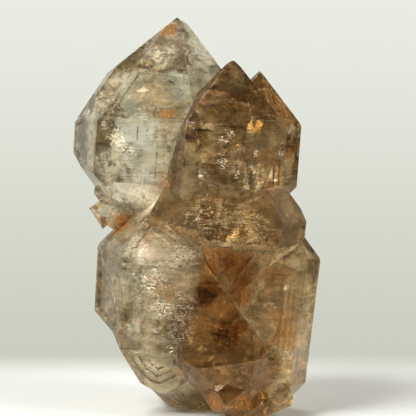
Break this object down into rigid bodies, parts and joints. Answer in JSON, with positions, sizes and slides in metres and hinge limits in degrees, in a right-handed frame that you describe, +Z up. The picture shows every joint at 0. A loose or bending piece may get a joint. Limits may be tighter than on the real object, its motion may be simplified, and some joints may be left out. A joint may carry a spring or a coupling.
{
  "type": "quartz crystal cluster",
  "caption": "Upright cluster of stout intergrown smoky quartz crystals, each a short prism with a pyramid at both ends and stepped hollows in its faces; rests on a small flat at the foot.",
  "frame": {"origin": "centre of the cluster's bounding box in plan, on the flat that the cluster rests on", "axes": "+Z up along the crystals, +X to the right and -Y towards the front as pictured"},
  "size_m": [0.0316, 0.031, 0.0499],
  "materials": {
    "quartz_cluster": "clear to smoky brown, polished crystal faces"
  },
  "bodies": {
    "root": {"quartz_cluster": "quartz_cluster"}
  },
  "joints": []
}
